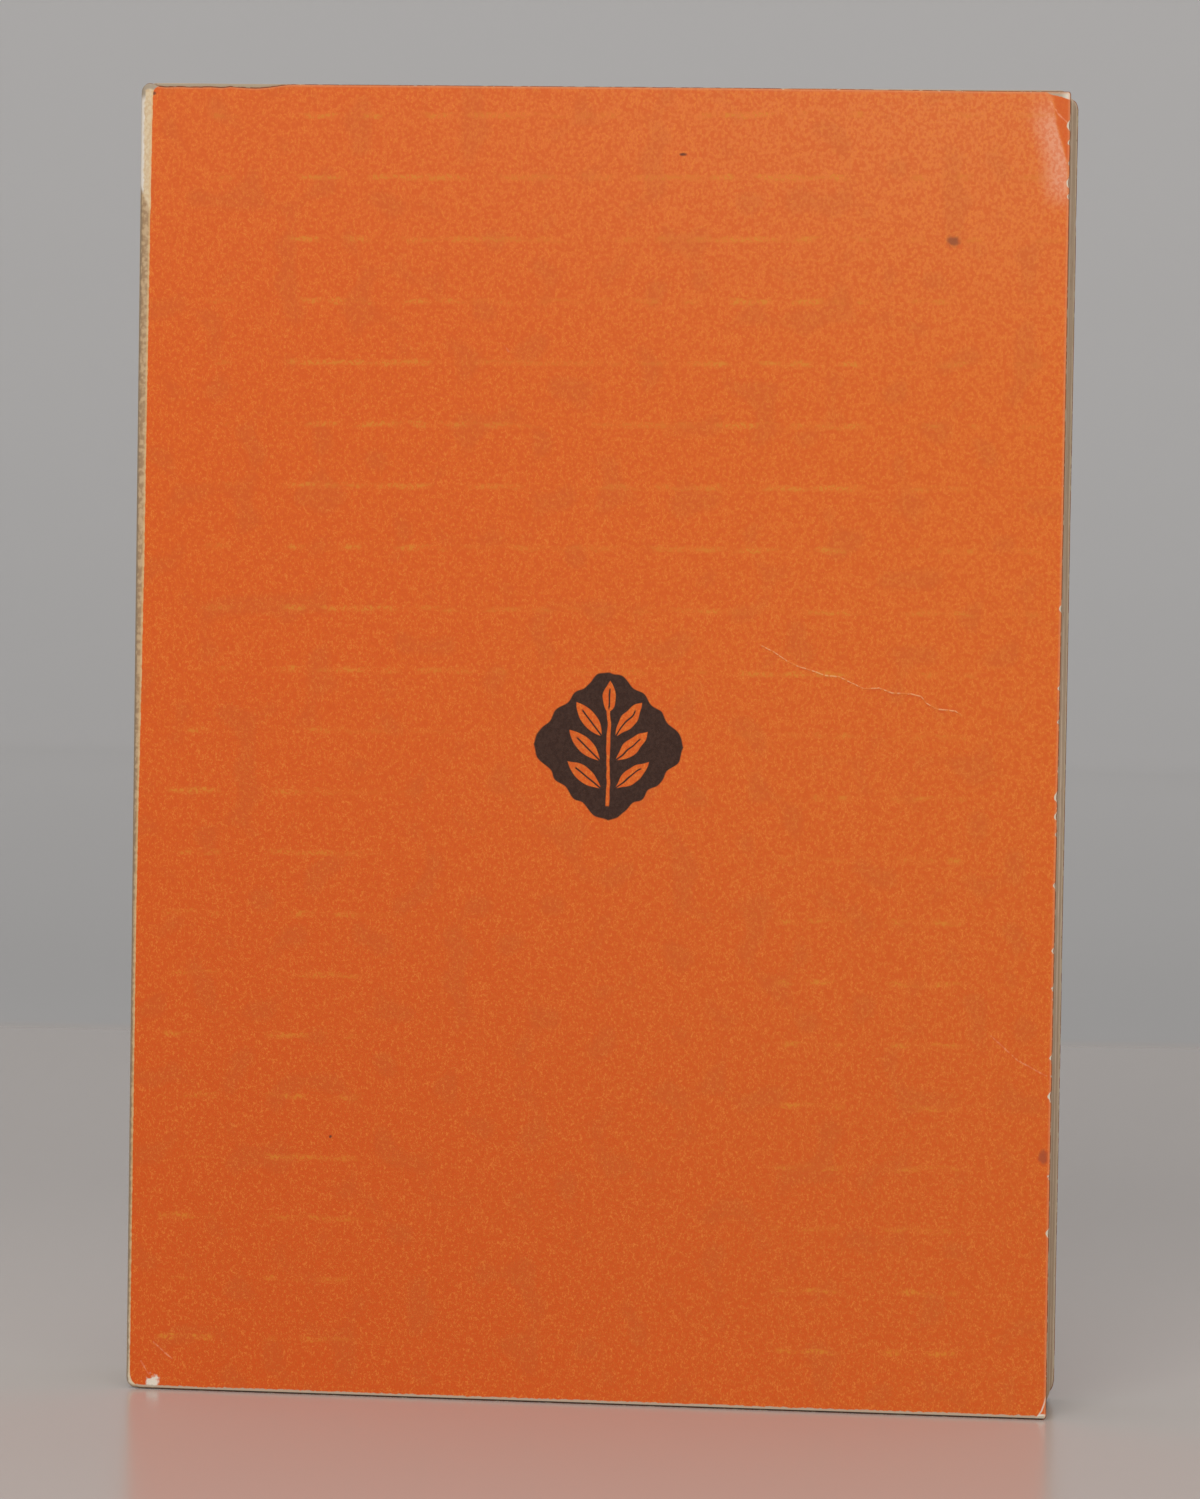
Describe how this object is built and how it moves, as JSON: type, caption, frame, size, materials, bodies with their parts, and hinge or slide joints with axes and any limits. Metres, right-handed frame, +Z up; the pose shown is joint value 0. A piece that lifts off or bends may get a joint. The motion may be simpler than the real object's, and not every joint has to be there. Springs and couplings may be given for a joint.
{
  "type": "paperback book",
  "caption": "Worn small paperback book: glued block of leaves in a folded card cover, standing closed on its tail, with covers hinged at their folds.",
  "frame": {"origin": "middle of the footprint on the surface that the tail stands on", "axes": "+Z up along the book's height, X from the spine at -X to the fore-edge at +X, Y through the thickness with the front cover facing -Y"},
  "size_m": [0.126, 0.0196, 0.178],
  "materials": {
    "leaves": "matte, yellowed trimmed edges",
    "glue": "aged adhesive film",
    "cover_card": "unprinted cream card, rubbed at the folds",
    "printed_card": "orange printed card with a faint varnish sheen, worn edges"
  },
  "bodies": {
    "book": {"page_block": "leaves", "spine_glue": "glue", "cover_spine": "cover_card"},
    "front_board": {"front_cover": "printed_card"},
    "back_board": {"back_cover": "printed_card"}
  },
  "joints": [
    {"name": "front_fold", "type": "hinge", "parent": "book", "child": "front_board", "pos_m": [-0.062, -0.0098, 0.089], "axis": [0, 0, -1], "range_deg": [0, 180]},
    {"name": "back_fold", "type": "hinge", "parent": "book", "child": "back_board", "pos_m": [-0.062, 0.0098, 0.089], "axis": [0, 0, 1], "range_deg": [0, 180]}
  ]
}
